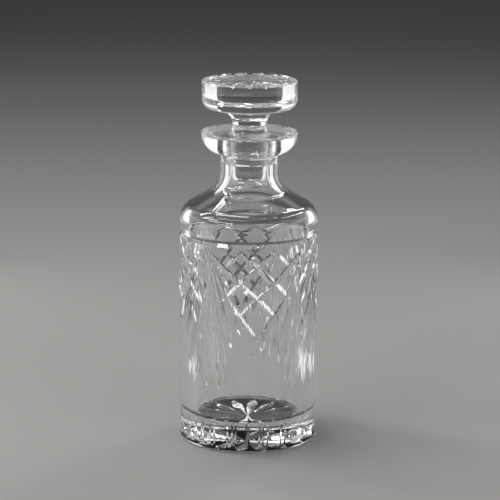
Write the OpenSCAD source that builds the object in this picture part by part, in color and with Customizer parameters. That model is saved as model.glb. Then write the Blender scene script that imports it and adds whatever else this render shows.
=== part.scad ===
// Cut-crystal wine decanter: a cylindrical bottle and its ground-in stopper.
//
// Frame: the origin is the middle of the foot, +Z runs up the bottle's axis, and the front is -Y.
// The bottle is one piece of glass, cut on the outside: a ring groove under the shoulder, four
// diamond lattices with four fans of flutes between them, and a star under the base.
// The stopper is one piece too: a flat head, a waisted stem and a tapered plug that is ground
// to the bore of the neck and lifts straight up out of it.

/* [Bottle] */
// Outer diameter of the body
body_d = 91.2; // [86:0.2:96]
// Height where the straight side ends and the shoulder starts
side_h = 146.4; // [140:0.2:152]
// Height of the lip above the foot
lip_h = 205; // [202:0.5:212]
// Outer diameter of the lip
lip_d = 63.2; // [58:0.2:68]
// Outer diameter of the neck at its narrowest
neck_d = 37.2; // [34:0.2:40]
// Thickness of the wall at the shoulder and in the neck
wall = 6; // [5:0.2:7]
// Thickness of the wall low down in the body
low_wall = 12; // [8:0.5:13]
// Thickness of the solid base
base_t = 18.5; // [14:0.5:22]

/* [Stopper] */
// Diameter of the head
head_d = 62; // [54:0.5:66]
// Thickness of the head
head_t = 18.5; // [14:0.5:24]
// Gap for the fingers between the lip and the head
finger_gap = 15; // [12:0.5:20]
// Diameter of the stem at its waist
waist_d = 22.2; // [18:0.2:24]
// Diameter of the plug at its lower end
plug_tip_d = 21.2; // [18:0.2:22]
// Length of the plug
plug_l = 30; // [24:0.5:32]
// Angle of the plug's side from the axis, in degrees
plug_taper = 3.2; // [2:0.1:4]
// Gap all round between the plug and its bore
ground_gap = 0.12; // [0.08:0.01:0.2]

/* [Cutting] */
// Depth of the lattice cuts
lattice_depth = 1.5; // [0.8:0.1:1.8]
// Depth of the fan flutes
flute_depth = 2; // [1:0.1:2.2]
// Depth of the ring groove
ring_depth = 1.2; // [0.6:0.1:1.6]
// Angle between the two faces of a mitre cut, in degrees
mitre_angle = 110; // [90:1:120]
// Number of lattice and fan pairs round the body
panels = 4; // [4:1:4]
// Number of rays in the star under the base
star_rays = 16; // [12:2:24]
// Number of rays in the star on the head
head_rays = 18; // [12:1:24]

/* [Hidden] */
$fn = 180;
GLASS = [0.86, 0.90, 0.91, 0.45];

body_r = body_d / 2;
neck_r = neck_d / 2;
lip_r = lip_d / 2;
head_r = head_d / 2;
arc_step = 6;                   // degrees of arc to one straight piece of an outline

// Foot
foot_r = body_r - 3.4;          // radius of the ring that it stands on
heel_r = body_r - 1.2;          // radius just above the rounded lower edge
heel_h = 4;
foot_side_h = 30;               // the side leans in slightly below this height

// Inside
low_wall_h = 60;                // the wall has its low thickness below this height
cavity_corner = 3.5;            // rounding between the wall and the base

// Shoulder: one convex and one concave arc, joined by their common tangent
shoulder_arc = 13.7;
neck_arc = 15;
neck_h = side_h + 32.3;         // height of the narrowest part of the neck
shoulder_c = [body_r - shoulder_arc, side_h];
neck_c = [neck_r + neck_arc, neck_h];

// Lip and the shallow dish in its top
lip_curve = 13.5;               // its side and underside are one quarter-round
lip_c = [lip_r - lip_curve, lip_h - 1];
lip_fillet = 2.5;               // the hollow between the underside and the neck
fillet_r = neck_r + lip_fillet;
fillet_c = [fillet_r, lip_c.y - sqrt(pow(lip_curve + lip_fillet, 2) - pow(fillet_r - lip_c.x, 2))];
dish_depth = 2.2;
dish_r = 25.5;
rim_r = lip_r - 2.2;
mouth_h = lip_h - dish_depth;
mouth_chamfer = 0.5;            // of the bore's upper edge, clear of the stopper's collar
bore_end = lip_h - 20;          // below this the throat is wider than the plug

// Ground joint
plug_h = mouth_h - plug_l;      // height of the plug's lower end
plug_r = plug_tip_d / 2;
plug_top_r = plug_r + plug_l * tan(plug_taper);
tip_round = 2;                  // rounding of its lower end
collar_round = 0.8;             // the collar that stops just above the dish
collar_gap = 0.1;

// Stem and head of the stopper
waist_h = lip_h + 4.2;
stem_low = 8.5;                 // the stem's hollow curve below its waist, and above it
stem_high = 10.3;
head_h = lip_h + finger_gap;    // height of the head's underside
head_top = head_h + head_t;
head_edge = 6;                  // rounding of the head's lower edge
head_slope = 6;                 // of the head's underside, in degrees

// Cutting
mitre_half = mitre_angle / 2;
ring_h = side_h - 7.1;
lattice_top = ring_h - 5;       // height of the uppermost crossings
lattice_row = 10.4;             // height between crossings
lattice_col = 13.6;             // degrees between crossings
lattice_turn = 7.5;             // degrees from the front to the middle of a lattice
tip_drop = 59;                  // from the uppermost crossings to the lattice's lower tip
fan_top = ring_h - 4.5;
star_r = foot_r - 2.5;          // where the rays of the base's star run out
star_turn = 15.6;
star_widest = 0.68 * star_r;
star_depth = 2.6;
star_hub_r = 6;
star_hub_depth = 0.5;
head_depth = 1.7;
// Each flute of a fan: degrees from the fan's middle at its lower end, height of that end
flutes = [[0, 40], [6.5, 51], [13, 43], [20, 46], [25, 70], [32, 80]];

// Points of an arc about c from angle a to angle b
function arc(c, r, a, b) =
    let (n = max(2, ceil(abs(b - a) / arc_step)))
    [for (i = [0 : n]) let (t = a + (b - a) * i / n) [c.x + r * cos(t), c.y + r * sin(t)]];

// Direction, at right angles to it, of the line that touches both shoulder arcs
function tangent_dir(c1, r1, c2, r2) =
    let (d = c2 - c1)
    atan2(d.y, d.x) - acos((r1 + r2) / norm(d));

// Shoulder outline moved inwards by an offset, from the side up to the neck
function shoulder(offset) =
    let (dir = tangent_dir(shoulder_c, shoulder_arc, neck_c, neck_arc))
    concat(
        arc(shoulder_c, shoulder_arc - offset, 0, dir),
        arc(neck_c, neck_arc + offset, dir + 180, 180)
    );

// Radius of the bore at a height
function bore_r(h) = plug_r + ground_gap + (h - plug_h) * tan(plug_taper);

module revolve(points) {
    rotate_extrude() polygon(points);
}

module bottle_outside() {
    heel = heel_h - 0.2;
    meeting = atan2(fillet_c.y - lip_c.y, fillet_c.x - lip_c.x);
    revolve(concat(
        [[0, 0]],
        arc([foot_r - 0.6, heel], heel, -90, -28),
        [[heel_r, heel_h + 0.6], [body_r, foot_side_h]],
        shoulder(0),
        arc(fillet_c, lip_fillet, 180, 180 + meeting),
        arc(lip_c, lip_curve, meeting, 0),
        arc([lip_r - 1, lip_h - 1], 1, 0, 90),
        [[0, lip_h]]
    ));
}

module bottle_inside() {
    low_r = body_r - low_wall;
    revolve(concat(
        [[0, base_t]],
        arc([low_r - cavity_corner, base_t + cavity_corner], cavity_corner, -90, 0),
        [[low_r, low_wall_h]],
        shoulder(wall),
        [[neck_r - wall, bore_end - 1], [bore_r(bore_end), bore_end],
         [bore_r(mouth_h), mouth_h - mouth_chamfer], [bore_r(mouth_h) + mouth_chamfer, mouth_h],
         [dish_r, mouth_h], [rim_r, lip_h], [rim_r, lip_h + 1], [0, lip_h + 1]]
    ));
}

// A V cut on the body's side between two places, each [degrees round from the front, height].
// It is deepest half way and runs out at both ends, as a wheel leaves it.
module mitre(from, to, depth) {
    mid = (from + to) / 2;
    run = (to.x - from.x) * PI / 180 * body_r;
    rise = to.y - from.y;
    length = norm([run, rise]);
    slope = atan2(rise, run);
    // How fast the side curves away along the cut, and the curve the cut's bottom line needs
    side_curve = pow(cos(slope), 2) / body_r;
    cut_curve = 8 * depth / pow(length, 2) - side_curve;
    curve = abs(cut_curve) < 1 / 2500 ? 1 / 2500 : cut_curve;
    radius = 1 / abs(curve);
    side = sign(curve);         // 1 for a wheel outside the glass, -1 for a ring round it
    reach = 3;                  // height of the V, so that it comes well out of the glass
    half = reach * tan(mitre_half);
    sweep = 1.1 * length / radius * 180 / PI;
    rotate([0, 0, mid.x - 90])
    translate([body_r - depth, 0, mid.y])
    rotate([slope, 0, 0])
    translate([side * radius, 0, 0])
    rotate([0, 0, (side > 0 ? 180 : 0) - sweep / 2])
    rotate_extrude(angle = sweep, $fn = max(180, ceil(radius)))
    polygon([[radius, 0], [radius - side * reach, half], [radius - side * reach, -half]]);
}

module ring_cut() {
    half = (ring_depth + 1) * tan(mitre_half + 4);
    translate([0, 0, ring_h])
    revolve([[body_r - ring_depth, 0], [body_r + 1, half], [body_r + 1, -half]]);
}

// Place of a lattice crossing, counted in columns from the middle and in rows from the top
function crossing(col, row) = [col * lattice_col, lattice_top - row * lattice_row];

// One diamond lattice: crossing cuts, a pointed lower end and three small cuts under it
module lattice_cuts() {
    tip_h = lattice_top - tip_drop;
    for (side = [-1, 1]) {
        mitre(crossing(side * -3.1, 0), crossing(side * 1.2, 4.2), lattice_depth);
        mitre(crossing(side * -1.2, -0.2), crossing(side * 2.2, 3.2), lattice_depth);
        mitre(crossing(side * 0.8, -0.2), crossing(side * 2.3, 1.3), lattice_depth * 0.8);
        mitre(crossing(side * -2.1, 2.7), [side * 0.6, tip_h], lattice_depth);
        mitre([side * 1.5, tip_h - 3], [side * 7, tip_h - 10], lattice_depth / 2);
    }
    mitre([0, tip_h - 3], [0, tip_h - 11], lattice_depth / 2);
}

// A flute of a fan: a straight V cut that deepens from its upper end and runs out below
module flute(from, to, depth) {
    deepest = 0.62;
    run = (to.x - from.x) * PI / 180 * body_r;
    length = norm([run, to.y - from.y]);
    slope = atan2(to.y - from.y, run);
    mid = from + (to - from) * deepest;
    rotate([0, 0, mid.x - 90])
    translate([body_r, 0, mid.y])
    rotate([slope, 0, 0])
    rotate([-90, 0, 90]) {
        ray([0, depth], [length * (1 - deepest), 0]);
        mirror([1, 0, 0]) ray([0, depth], [length * deepest, 0]);
    }
}

// The flutes start close together at the fan's top, a tenth as far apart as they end
module fan_cuts() {
    for (f = flutes, side = [-1, 1])
        if (f.x > 0 || side > 0)
            flute([side * f.x / 10, fan_top], [side * f.x, f.y], flute_depth);
}

// A straight V cut that lies along +X from one place to another, each [radius, height],
// and opens downwards
module ray(from, to) {
    reach = 6;
    half = reach * tan(mitre_half);
    run = to - from;
    translate([from.x, 0, from.y])
    rotate([0, 90 - atan2(run.y, run.x), 0])
    linear_extrude(norm(run))
    polygon([[0, 0], [reach, half], [reach, -half]]);
}

// Star cutter that opens downwards: rays round a small pointed hollow, from depth to depth
module star(rays, inner, middle, outer) {
    hub_d = 1.15 * inner.y;
    translate([0, 0, -1])
    cylinder(h = 1 + hub_d, r1 = (1 + hub_d) * inner.x / inner.y, r2 = 0);
    for (i = [0 : rays - 1])
        rotate([0, 0, i * 360 / rays]) {
            ray(inner, middle);
            ray(middle, outer);
        }
}

module bottle() {
    color(GLASS)
    difference() {
        bottle_outside();
        bottle_inside();
        ring_cut();
        rotate([0, 0, star_turn])
        star(star_rays, [star_hub_r, star_hub_depth], [star_widest, star_depth], [star_r, 0]);
        for (i = [0 : panels - 1])
            rotate([0, 0, i * 360 / panels + lattice_turn]) {
                lattice_cuts();
                rotate([0, 0, -180 / panels]) fan_cuts();
            }
    }
}

module stopper_blank() {
    top_edge = 1.2;
    revolve(concat(
        [[0, plug_h]],
        arc([plug_r - tip_round, plug_h + tip_round], tip_round, -90, 0),
        [[plug_top_r, mouth_h - 0.4]],
        arc([plug_top_r + 0.6, mouth_h + collar_gap + collar_round], collar_round, -90, -10),
        arc([waist_d / 2 + stem_low, waist_h], stem_low, 220, 180),
        arc([waist_d / 2 + stem_high, waist_h], stem_high, 180, 90 + head_slope),
        arc([head_r - head_edge, head_h + head_edge], head_edge, head_slope - 90, 0),
        arc([head_r - top_edge, head_top - top_edge], top_edge, 0, 90),
        [[0, head_top]]
    ));
}

module stopper() {
    color(GLASS)
    difference() {
        stopper_blank();
        translate([0, 0, head_top])
        mirror([0, 0, 1])
        rotate([0, 0, 180 / head_rays])
        star(head_rays, [star_hub_r, star_hub_depth], [head_r / 2, head_depth * 0.55],
             [head_r + 1, head_depth]);
    }
}

bottle();
stopper();
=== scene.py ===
"""Looks for the cut-crystal wine decanter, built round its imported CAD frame.

The frame's origin is the middle of the foot, +Z is up and -Y is the front. Both pieces are turned
outlines with V cuts taken out of them, so every facet is geometry. Outlines are in millimetres.
"""
import math

import bpy
import numpy as np
from mathutils import Matrix, Vector


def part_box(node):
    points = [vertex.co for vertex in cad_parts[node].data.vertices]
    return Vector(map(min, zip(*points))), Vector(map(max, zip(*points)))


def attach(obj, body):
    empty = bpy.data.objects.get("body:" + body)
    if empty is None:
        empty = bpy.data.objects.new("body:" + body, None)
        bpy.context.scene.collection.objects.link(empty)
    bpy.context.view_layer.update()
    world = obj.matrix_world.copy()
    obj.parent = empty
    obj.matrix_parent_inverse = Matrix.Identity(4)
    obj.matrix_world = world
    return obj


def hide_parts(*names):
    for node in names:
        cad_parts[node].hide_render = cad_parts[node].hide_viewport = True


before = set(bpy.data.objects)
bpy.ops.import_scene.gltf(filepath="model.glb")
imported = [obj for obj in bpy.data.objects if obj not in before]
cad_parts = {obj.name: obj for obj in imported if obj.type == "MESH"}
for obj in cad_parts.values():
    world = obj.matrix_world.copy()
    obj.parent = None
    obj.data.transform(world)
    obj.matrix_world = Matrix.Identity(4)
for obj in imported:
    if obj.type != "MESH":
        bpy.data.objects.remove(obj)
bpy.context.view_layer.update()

# ---------------------------------------------------------------- sizes, in millimetres
MM = 0.001
bottle_box = [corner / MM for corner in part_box("bottle")]
stopper_box = [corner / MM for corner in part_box("stopper")]

BODY_R = bottle_box[1].x
LIP_H = bottle_box[1].z
PLUG_H = stopper_box[0].z
HEAD_TOP = stopper_box[1].z
HEAD_R = stopper_box[1].x

WALL = 6.0
LOW_WALL = 12.0
LOW_WALL_H = 60.0
BASE_T = 18.5
CAVITY_CORNER = 3.5
FOOT_R = BODY_R - 3.4
HEEL_R = BODY_R - 1.2
HEEL_H = 4.0
FOOT_SIDE_H = 30.0

SIDE_H = LIP_H - 58.6
SHOULDER_ARC = 13.7
NECK_R = 18.6
NECK_ARC = 15.0
NECK_H = SIDE_H + 32.3
RING_H = SIDE_H - 7.1
RING_DEPTH = 1.2
RING_HALF = 2.1

LIP_R = 31.6
LIP_CURVE = 13.5
LIP_FILLET = 2.5
DISH_DEPTH = 2.2
DISH_R = 25.5
RIM_R = LIP_R - 2.2
MOUTH_H = LIP_H - DISH_DEPTH
MOUTH_CHAMFER = 0.5         # of the bore's upper edge
BORE_END = LIP_H - 20.0     # below this the throat is wider than the plug

PLUG_R = 10.6
PLUG_TAPER = math.tan(math.radians(3.2))
GROUND_GAP = 0.12
PLUG_TOP_R = PLUG_R + (MOUTH_H - PLUG_H) * PLUG_TAPER
TIP_ROUND = 2.0
COLLAR_ROUND = 0.8          # the collar that stops just above the dish
COLLAR_GAP = 0.1
WAIST_R = 11.1
WAIST_H = LIP_H + 4.2
STEM_LOW = 8.5          # the stem's hollow curve below its waist, and above it
STEM_HIGH = 10.3
HEAD_H = LIP_H + 15.0
HEAD_EDGE = 6.0
HEAD_SLOPE = 6.0        # degrees, of the head's underside
HEAD_TOP_EDGE = 1.2

# ---------------------------------------------------------------- cutting
MITRE_SPREAD = math.tan(math.radians(55))   # half the width of a V cut over its depth
WHEEL_R = 45.0                              # radius of the wheel that leaves each cut's end
PANELS = 4
LATTICE_TURN = 7.5
LATTICE_TOP = RING_H - 5.0
LATTICE_ROW = 10.4
LATTICE_COL = 13.6
LATTICE_TIP = LATTICE_TOP - 59.0
FAN_TOP = RING_H - 4.5
# Each flute of a fan: degrees from the fan's middle at its lower end, height of that end
FLUTES = ((0, 40), (6.5, 51), (13, 43), (20, 46), (25, 70), (32, 80))
FLUTE_DEPTH = 2.0
CUT_DEPTH = 1.5
RUN_OUT = 0.01              # how far above the glass a cut ends
STAR_RAYS = 16
STAR_R = FOOT_R - 2.5
STAR_TURN = 15.6
STAR_DEPTH = 2.6
STAR_WIDEST = 0.68 * STAR_R
HUB_DEPTH = 0.15            # of both stars, at their middle
HEAD_RAYS = 18
HEAD_DEPTH = 1.7

# ---------------------------------------------------------------- meshes
TURNS = 360
ARC_STEP = 4.0          # degrees of an outline's arc to one ring of faces
CLEAR, GROUND, CUT = 0, 1, 2
CREASE = math.radians(22)


class Outline:
    """Half section of a turned piece, drawn with the glass on its left.

    Each piece is (start, normal there, end, normal there, material), in (radius, height)."""

    def __init__(self, r, z):
        self.at = np.array([r, z], float)
        self.pieces = []

    def line(self, r, z, material=CLEAR):
        end = np.array([r, z], float)
        run = end - self.at
        if np.hypot(*run) > 1e-6:
            normal = np.array([run[1], -run[0]]) / np.hypot(*run)
            self.pieces.append((self.at, normal, end, normal, material))
        self.at = end
        return self

    def arc(self, centre, radius, start, end, material=CLEAR):
        steps = max(2, math.ceil(abs(end - start) / ARC_STEP))
        angles = np.radians(np.linspace(start, end, steps + 1))
        spokes = np.stack([np.cos(angles), np.sin(angles)], axis=1)
        points = np.array(centre) + radius * spokes
        normals = spokes if end > start else -spokes
        self.line(*points[0], material)
        for i in range(steps):
            self.pieces.append((points[i], normals[i], points[i + 1], normals[i + 1], material))
        self.at = points[-1]
        return self


def tangent_direction(c1, r1, c2, r2):
    """Direction, in degrees, at right angles to the line that touches both shoulder arcs."""
    dx, dy = c2[0] - c1[0], c2[1] - c1[1]
    return math.degrees(math.atan2(dy, dx) - math.acos((r1 + r2) / math.hypot(dx, dy)))


def bore_r(height):
    return PLUG_R + GROUND_GAP + (height - PLUG_H) * PLUG_TAPER


def bottle_outline():
    shoulder = (BODY_R - SHOULDER_ARC, SIDE_H)
    neck = (NECK_R + NECK_ARC, NECK_H)
    slope = tangent_direction(shoulder, SHOULDER_ARC, neck, NECK_ARC)
    heel = HEEL_H - 0.2
    lip = (LIP_R - LIP_CURVE, LIP_H - 1)
    fillet_r = NECK_R + LIP_FILLET
    fillet_h = lip[1] - math.sqrt((LIP_CURVE + LIP_FILLET) ** 2 - (fillet_r - lip[0]) ** 2)
    meeting = math.degrees(math.atan2(fillet_h - lip[1], fillet_r - lip[0]))
    out = Outline(0, 0)
    out.arc((FOOT_R - 0.6, heel), heel, -90, -28)
    out.line(HEEL_R, HEEL_H + 0.6)
    out.line(BODY_R, FOOT_SIDE_H)
    out.line(BODY_R, RING_H - RING_HALF)
    out.line(BODY_R - RING_DEPTH, RING_H)
    out.line(BODY_R, RING_H + RING_HALF)
    out.arc(shoulder, SHOULDER_ARC, 0, slope)
    out.arc(neck, NECK_ARC, slope + 180, 180)
    out.arc((fillet_r, fillet_h), LIP_FILLET, 180, 180 + meeting)
    out.arc(lip, LIP_CURVE, meeting, 0)
    out.arc((LIP_R - 1, LIP_H - 1), 1, 0, 90)
    out.line(RIM_R, LIP_H)
    out.line(DISH_R, MOUTH_H)
    out.line(bore_r(MOUTH_H) + MOUTH_CHAMFER, MOUTH_H)
    out.line(bore_r(MOUTH_H), MOUTH_H - MOUTH_CHAMFER)
    out.line(bore_r(BORE_END), BORE_END, GROUND)
    out.line(NECK_R - WALL, BORE_END - 1)
    # Inside, the shoulder follows the outside at the wall's thickness
    out.arc(neck, NECK_ARC + WALL, 180, slope + 180)
    out.arc(shoulder, SHOULDER_ARC - WALL, slope, 0)
    out.line(BODY_R - LOW_WALL, LOW_WALL_H)
    out.arc((BODY_R - LOW_WALL - CAVITY_CORNER, BASE_T + CAVITY_CORNER), CAVITY_CORNER, 0, -90)
    out.line(0, BASE_T)
    return out.pieces


def stopper_outline():
    out = Outline(0, PLUG_H)
    out.arc((PLUG_R - TIP_ROUND, PLUG_H + TIP_ROUND), TIP_ROUND, -90, 0)
    out.line(bore_r(BORE_END) - GROUND_GAP, BORE_END)
    out.line(PLUG_TOP_R, MOUTH_H - 0.4, GROUND)
    out.arc((PLUG_TOP_R + 0.6, MOUTH_H + COLLAR_GAP + COLLAR_ROUND), COLLAR_ROUND, -90, -10)
    out.arc((WAIST_R + STEM_LOW, WAIST_H), STEM_LOW, 220, 180)
    out.arc((WAIST_R + STEM_HIGH, WAIST_H), STEM_HIGH, 180, 90 + HEAD_SLOPE)
    out.arc((HEAD_R - HEAD_EDGE, HEAD_H + HEAD_EDGE), HEAD_EDGE, HEAD_SLOPE - 90, 0)
    out.arc((HEAD_R - HEAD_TOP_EDGE, HEAD_TOP - HEAD_TOP_EDGE), HEAD_TOP_EDGE, 0, 90)
    out.line(0, HEAD_TOP)
    return out.pieces


def new_mesh(name, points, faces, materials):
    mesh = bpy.data.meshes.new(name)
    mesh.from_pydata([tuple(p) for p in np.asarray(points) * MM], [], faces)
    for _ in range(CUT + 1):
        mesh.materials.append(None)
    mesh.polygons.foreach_set("material_index", materials)
    mesh.update()
    piece = bpy.data.objects.new(name, mesh)
    bpy.context.scene.collection.objects.link(piece)
    return piece


def turned(name, pieces):
    """Turns an outline about the Z axis. Its first and last pieces are flat discs on the axis."""
    turn = np.radians(np.arange(TURNS) * 360 / TURNS)
    points = []
    for r, z in (p[0] for p in pieces[1:]):
        points.append(np.stack([r * np.cos(turn), r * np.sin(turn), np.full(TURNS, z)], axis=1))
    faces = [tuple(reversed(range(TURNS)))]
    for k in range(1, len(pieces) - 1):
        low, high = (k - 1) * TURNS, k * TURNS
        for i in range(TURNS):
            j = (i + 1) % TURNS
            faces.append((low + i, low + j, high + j, high + i))
    faces.append(tuple(high + i for i in range(TURNS)))
    middle = [p[4] for p in pieces[1:-1] for _ in range(TURNS)]
    return new_mesh(name, np.concatenate(points), faces, [CLEAR] + middle + [CLEAR])


def groove(name, place, depth, stations):
    """A V-shaped cutting solid. place(t) gives a point of the glass and the way out of it, and
    depth(t) how deep the cut is there, for t from 0 to 1."""
    clear = 1.5
    points = []
    for t in np.linspace(0, 1, stations):
        here, out = place(t)
        along = place(min(1, t + 0.01))[0] - place(max(0, t - 0.01))[0]
        across = np.cross(out, along)
        across = across / np.linalg.norm(across) * (clear + depth(t)) * MITRE_SPREAD
        points += [here - out * depth(t), here + out * clear + across, here + out * clear - across]
    faces = [(0, 2, 1), (3 * stations - 3, 3 * stations - 2, 3 * stations - 1)]
    for s in range(0, 3 * stations - 3, 3):
        for a, b in ((2, 0), (1, 2), (0, 1)):
            faces.append((s + a, s + b, s + b + 3, s + a + 3))
    return new_mesh(name, points, faces, [CUT] * len(faces))


def side_groove(name, start, end, depth, lead_in=False):
    """A cut on the body's side between two places, each (degrees round, height)."""
    start, end = np.array(start, float), np.array(end, float)
    run = end - start
    length = math.hypot(math.radians(run[0]) * BODY_R, run[1])
    tail = min(math.sqrt(2 * WHEEL_R * depth), length / 2)

    def place(t):
        turn, height = start + run * t
        out = np.array([math.sin(math.radians(turn)), -math.cos(math.radians(turn)), 0])
        return out * BODY_R + np.array([0, 0, height]), out

    def depth_at(t):
        s = t * length
        ending = max(0.0, (s - (length - tail)) / tail)
        if lead_in:
            return depth * min(1.0, s / (length - tail)) * (1 - ending ** 2) - RUN_OUT
        starting = max(0.0, (tail - s) / tail)
        return depth * (1 - ending ** 2 - starting ** 2) - RUN_OUT

    return groove(name, place, depth_at, 40)


def lattice_cuts(turn):
    """One diamond lattice: crossing cuts, a pointed lower end and three small cuts under it."""
    cuts = []

    def cross(side, col, row):
        return (turn + side * col * LATTICE_COL, LATTICE_TOP - row * LATTICE_ROW)

    for side in (-1, 1):
        lines = [
            (cross(side, -3.1, 0), cross(side, 1.2, 4.2), 1.0),
            (cross(side, -1.2, -0.2), cross(side, 2.2, 3.2), 1.0),
            (cross(side, 0.8, -0.2), cross(side, 2.3, 1.3), 0.8),
            (cross(side, -2.1, 2.7), (turn + side * 0.6, LATTICE_TIP), 1.0),
            ((turn + side * 1.5, LATTICE_TIP - 3), (turn + side * 7, LATTICE_TIP - 10), 0.5),
        ]
        cuts += [side_groove("lattice_cut", a, b, CUT_DEPTH * share) for a, b, share in lines]
    top, end = (turn, LATTICE_TIP - 3), (turn, LATTICE_TIP - 11)
    cuts.append(side_groove("sprig_cut", top, end, CUT_DEPTH / 2))
    return cuts


def fan_cuts(turn):
    cuts = []
    for spread, height in FLUTES:
        for side in (-1, 1) if spread else (1,):
            start = (turn + side * spread / 10, FAN_TOP)
            end = (turn + side * spread, height)
            cuts.append(side_groove("flute_cut", start, end, FLUTE_DEPTH, lead_in=True))
    return cuts


def star_cut(rays, turn, height, way, reach, depth_at):
    """One solid that cuts a star of V rays into a flat face, which looks up (way 1) or down (-1).

    Valleys and the ridges between them alternate round it. A ridge that would stand proud of the
    face passes outside it, and there the face keeps a flat land between two rays."""
    stations = np.linspace(0, reach, 24)[1:]
    half_turn = math.pi / rays
    clear = 8.0
    angles = math.radians(turn) + half_turn * np.arange(2 * rays)
    ridge = np.arange(2 * rays) % 2
    points = [[0, 0, height - way * depth_at(0)]]
    for r in stations:
        far = np.where(ridge, r / math.cos(half_turn), r)
        deep = depth_at(r) - ridge * r * math.tan(half_turn) / MITRE_SPREAD
        x, y = far * np.cos(angles), far * np.sin(angles)
        points += list(np.stack([x, y, height - way * deep], axis=1))
    edge = np.array(points[-2 * rays:])
    edge[:, 2] = height + way * clear
    points += list(edge)
    count = 2 * rays
    rows = len(stations) + 1
    faces = [(0, 1 + (k + 1) % count, 1 + k) for k in range(count)]
    for j in range(rows - 1):
        for k in range(count):
            a, b = 1 + j * count + k, 1 + j * count + (k + 1) % count
            faces.append((a, b, b + count, a + count))
    faces.append(tuple(1 + (rows - 1) * count + k for k in range(count)))
    if way < 0:
        faces = [face[::-1] for face in faces]
    return new_mesh("star_cut", points, faces, [CUT] * len(faces))


def base_depth(r):
    if r < STAR_WIDEST:
        return HUB_DEPTH + (STAR_DEPTH - HUB_DEPTH) * max(0.0, r) / STAR_WIDEST
    return STAR_DEPTH * (1 - ((r - STAR_WIDEST) / (STAR_R - STAR_WIDEST)) ** 2) - RUN_OUT


def head_depth(r):
    return HUB_DEPTH + (HEAD_DEPTH - HUB_DEPTH) * max(0.0, r) / HEAD_R


def cut_away(piece, cuts):
    """Takes the cutting solids out of a piece and removes them from the scene."""
    tools = bpy.data.collections.new("cutting_tools")
    for cut in cuts:
        tools.objects.link(cut)
    bpy.context.scene.collection.children.link(tools)
    modifier = piece.modifiers.new("cuts", "BOOLEAN")
    modifier.operation = "DIFFERENCE"
    modifier.operand_type = "COLLECTION"
    modifier.collection = tools
    modifier.solver = "MANIFOLD"
    graph = bpy.context.evaluated_depsgraph_get()
    mesh = bpy.data.meshes.new_from_object(piece.evaluated_get(graph))
    piece.modifiers.clear()
    piece.data = mesh
    for cut in cuts:
        bpy.data.objects.remove(cut)
    bpy.data.collections.remove(tools)


def outline_normals(points, ways, pieces):
    """Normals of the nearest outline pieces that face the given ways, all in (radius, height)."""
    starts, n0, ends, n1 = (np.array([p[k] for p in pieces]) for k in range(4))
    runs = ends - starts
    best = np.full(len(points), np.inf)
    normals = ways.copy()
    for start, run, a, b in zip(starts, runs, n0, n1):
        t = np.clip((points - start) @ run / (run @ run), 0, 1)
        gap = np.linalg.norm(points - start - t[:, None] * run, axis=1)
        facing = ways @ ((a + b) / np.linalg.norm(a + b)) > 0.94
        nearer = facing & (gap < best)
        best[nearer] = gap[nearer]
        normals[nearer] = (a * (1 - t[:, None]) + b * t[:, None])[nearer]
    return normals / np.linalg.norm(normals, axis=1)[:, None]


def shade(piece, pieces):
    """Gives turned faces their outline's own normals, and cut faces smooth walls and crisp edges."""
    mesh = piece.data
    mesh.set_sharp_from_angle(angle=CREASE)
    corners, faces = len(mesh.loops), len(mesh.polygons)
    normals = np.empty(corners * 3)
    mesh.corner_normals.foreach_get("vector", normals)
    normals = normals.reshape(-1, 3)
    points = np.empty(len(mesh.vertices) * 3)
    mesh.vertices.foreach_get("co", points)
    vertex = np.empty(corners, int)
    mesh.loops.foreach_get("vertex_index", vertex)
    points = points.reshape(-1, 3)[vertex] / MM
    sizes, slots, face_normals = np.empty(faces, int), np.empty(faces, int), np.empty(faces * 3)
    mesh.polygons.foreach_get("loop_total", sizes)
    mesh.polygons.foreach_get("material_index", slots)
    mesh.polygons.foreach_get("normal", face_normals)
    face_normals = np.repeat(face_normals.reshape(-1, 3), sizes, axis=0)
    turned_corner = np.repeat(slots, sizes) != CUT

    radius = np.hypot(points[:, 0], points[:, 1])
    spokes = points[:, :2] / np.maximum(radius, 1e-6)[:, None]
    ways = np.stack([(face_normals[:, :2] * spokes).sum(axis=1), face_normals[:, 2]], axis=1)
    ways /= np.maximum(np.linalg.norm(ways, axis=1), 1e-6)[:, None]
    section = np.stack([radius, points[:, 2]], axis=1)
    exact = outline_normals(section[turned_corner], ways[turned_corner], pieces)
    spokes = spokes[turned_corner]
    normals[turned_corner] = np.concatenate([spokes * exact[:, :1], exact[:, 1:]], axis=1)
    mesh.normals_split_custom_set(normals)


# ---------------------------------------------------------------- materials
CRYSTAL_IOR = 1.545


def nodes_of(name):
    material = bpy.data.materials.new(name)
    material.use_nodes = True
    tree = material.node_tree
    return material, tree, tree.nodes["Principled BSDF"]


def noise(tree, scale, detail):
    where = tree.nodes.new("ShaderNodeTexCoord")
    node = tree.nodes.new("ShaderNodeTexNoise")
    node.inputs["Scale"].default_value = scale
    node.inputs["Detail"].default_value = detail
    tree.links.new(where.outputs["Object"], node.inputs["Vector"])
    return node.outputs["Fac"]


def spread(tree, value, low, high, start=0.35, end=0.65):
    node = tree.nodes.new("ShaderNodeMapRange")
    node.inputs["From Min"].default_value = start
    node.inputs["From Max"].default_value = end
    node.inputs["To Min"].default_value = low
    node.inputs["To Max"].default_value = high
    tree.links.new(value, node.inputs["Value"])
    return node.outputs["Result"]


def crystal():
    """Polished lead crystal: clear, with the faint unevenness of glass finished by hand."""
    material, tree, shader = nodes_of("crystal")
    shader.inputs["Base Color"].default_value = (0.985, 0.99, 0.99, 1)
    shader.inputs["Transmission Weight"].default_value = 1.0
    shader.inputs["IOR"].default_value = CRYSTAL_IOR
    tree.links.new(spread(tree, noise(tree, 140, 3), 0.0, 0.02), shader.inputs["Roughness"])
    return material


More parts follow.
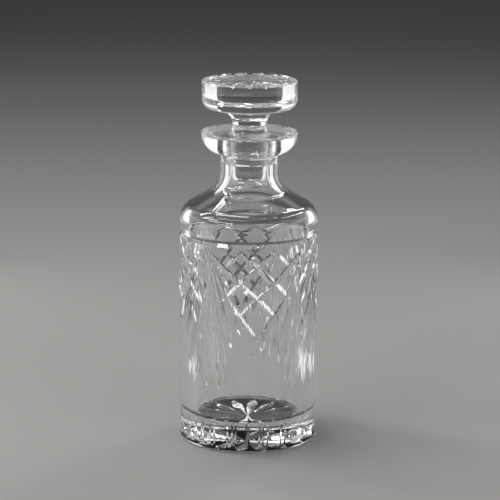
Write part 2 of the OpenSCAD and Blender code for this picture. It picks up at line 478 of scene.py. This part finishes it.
def ground_glass():
    """The matt, finely scratched faces of the ground joint."""
    material, tree, shader = nodes_of("ground_glass")
    shader.inputs["Base Color"].default_value = (0.97, 0.975, 0.975, 1)
    shader.inputs["Transmission Weight"].default_value = 1.0
    shader.inputs["IOR"].default_value = CRYSTAL_IOR
    tree.links.new(spread(tree, noise(tree, 900, 4), 0.1, 0.26), shader.inputs["Roughness"])
    return material


def paper():
    """Plain pale studio paper."""
    material, tree, shader = nodes_of("paper")
    shader.inputs["Base Color"].default_value = (0.34, 0.335, 0.325, 1)
    shader.inputs["Roughness"].default_value = 0.9
    return material


def finish_piece(piece, outline, materials, body, node):
    shade(piece, outline)
    slots = np.empty(len(piece.data.polygons), int)
    piece.data.polygons.foreach_get("material_index", slots)
    slots[slots == CUT] = CLEAR
    piece.data.materials.clear()
    for material in materials:
        piece.data.materials.append(material)
    piece.data.polygons.foreach_set("material_index", slots)
    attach(piece, body)
    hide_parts(node)


# ---------------------------------------------------------------- the decanter
glass = [crystal(), ground_glass()]

outline = bottle_outline()
bottle = turned("cut_bottle", outline)
cuts = [star_cut(STAR_RAYS, STAR_TURN, 0, -1, STAR_R, base_depth)]
for i in range(PANELS):
    turn = LATTICE_TURN + i * 360 / PANELS
    cuts += lattice_cuts(turn) + fan_cuts(turn - 180 / PANELS)
cut_away(bottle, cuts)
finish_piece(bottle, outline, glass, "bottle", "bottle")

outline = stopper_outline()
stopper = turned("cut_stopper", outline)
cut_away(stopper, [star_cut(HEAD_RAYS, 180 / HEAD_RAYS, HEAD_TOP, 1, HEAD_R + 1, head_depth)])
finish_piece(stopper, outline, glass, "stopper", "stopper")

# ---------------------------------------------------------------- studio
scene = bpy.context.scene
scene.view_settings.view_transform = "Standard"
BOUNCES = 64        # light crosses many cut faces before it leaves the glass
scene.cycles.max_bounces = BOUNCES
scene.cycles.transmission_bounces = BOUNCES
scene.cycles.glossy_bounces = BOUNCES

FLOOR = 6000.0      # half its width, in millimetres
floor = new_mesh("floor", [(-FLOOR, -FLOOR, 0), (FLOOR, -FLOOR, 0), (FLOOR, FLOOR, 0), (-FLOOR, FLOOR, 0)],
                 [(0, 1, 2, 3)], [0])
floor.data.materials.clear()
floor.data.materials.append(paper())

world = bpy.data.worlds.new("studio")
world.use_nodes = True
world.node_tree.nodes["Background"].inputs["Color"].default_value = (0.95, 0.98, 1.0, 1)
world.node_tree.nodes["Background"].inputs["Strength"].default_value = 0.08
scene.world = world


def direction(azimuth, elevation):
    """Unit vector away from the decanter. Azimuth 0 is the camera's side, and 90 the right."""
    a, e = math.radians(azimuth), math.radians(elevation)
    return Vector((math.sin(a) * math.cos(e), -math.cos(a) * math.cos(e), math.sin(e)))


def area_light(name, way, along, distance, width, height, radiance):
    """A soft rectangular light that faces the decanter, with its width along a given direction."""
    light = bpy.data.lights.new(name, "AREA")
    light.shape = "RECTANGLE"
    light.size, light.size_y = width, height
    light.energy = radiance * math.pi * width * height
    lamp = bpy.data.objects.new(name, light)
    across = way.cross(along).normalized()
    turn = Matrix((across.cross(way), across, way)).transposed().to_4x4()
    lamp.matrix_world = Matrix.Translation(Vector((0, 0, 0.12)) + way * distance) @ turn
    scene.collection.objects.link(lamp)


def panel(name, azimuth, elevation, distance, width, height, radiance):
    way, along = direction(azimuth, elevation), direction(azimuth + 90, 0)
    area_light(name, way, along, distance, width, height, radiance)


def strip(name, start, end, distance, width, radiance):
    """A narrow light that reaches from one direction to another, each (azimuth, elevation)."""
    start, end = direction(*start), direction(*end)
    length = distance * start.angle(end)
    area_light(name, (start + end).normalized(), end - start, distance, length, width, radiance)


# Pale walls round the set and light cards close beside it, all out of the camera's sight
panel("front_wall", 0, 24, 2.2, 2.0, 1.2, 0.5)
for side in (-1, 1):
    panel("back_wall", side * 127, 25, 1.6, 1.3, 0.8, 0.4)
    panel("back_wall_foot", side * 127, 2, 1.6, 1.3, 0.35, 0.45)
    panel("card", side * 80, 9, 0.4, 0.2, 0.28, 0.8)
    panel("card_back", side * 135, 8, 0.5, 0.25, 0.28, 0.8)
    panel("side_wall", side * 68, 12, 1.6, 1.5, 0.8, 0.6)
# Ceiling tubes and lamps, each from one direction to another
strip("tube_left", (-110, 57), (0, 84), 1.2, 0.1, 15)
strip("tube_right", (134, 57), (149, 28), 1.2, 0.06, 15)
strip("lamp_top", (-154, 69), (-177, 73), 1.2, 0.13, 15)
strip("lamp_back", (-144, 52), (-148, 66), 1.2, 0.07, 15)
strip("lamp_side", (-112, 38), (-126, 55), 1.2, 0.1, 15)
strip("lamp_left", (-93, 39), (-65, 44), 1.2, 0.08, 15)
strip("lamp_front", (-60, 40), (-32, 40), 1.2, 0.07, 15)
strip("lamp_low", (-43, 24), (-25, 20), 1.3, 0.07, 15)
strip("lamp_right", (30, 15), (54, 32), 1.3, 0.07, 15)

# ---------------------------------------------------------------- camera
CAMERA_AWAY = 1.3033
CAMERA_UP = 0.4347
CAMERA_PITCH = 13.336
CAMERA_ROLL = 0.4
camera_data = bpy.data.cameras.new("camera")
camera_data.lens = 146.9
camera_data.sensor_width = 36.0
camera = bpy.data.objects.new("camera", camera_data)
camera.matrix_world = (
    Matrix.Translation((0.0009, -CAMERA_AWAY, CAMERA_UP))
    @ Matrix.Rotation(math.radians(90 - CAMERA_PITCH), 4, "X")
    @ Matrix.Rotation(math.radians(CAMERA_ROLL), 4, "Z")
)
scene.collection.objects.link(camera)
scene.camera = camera
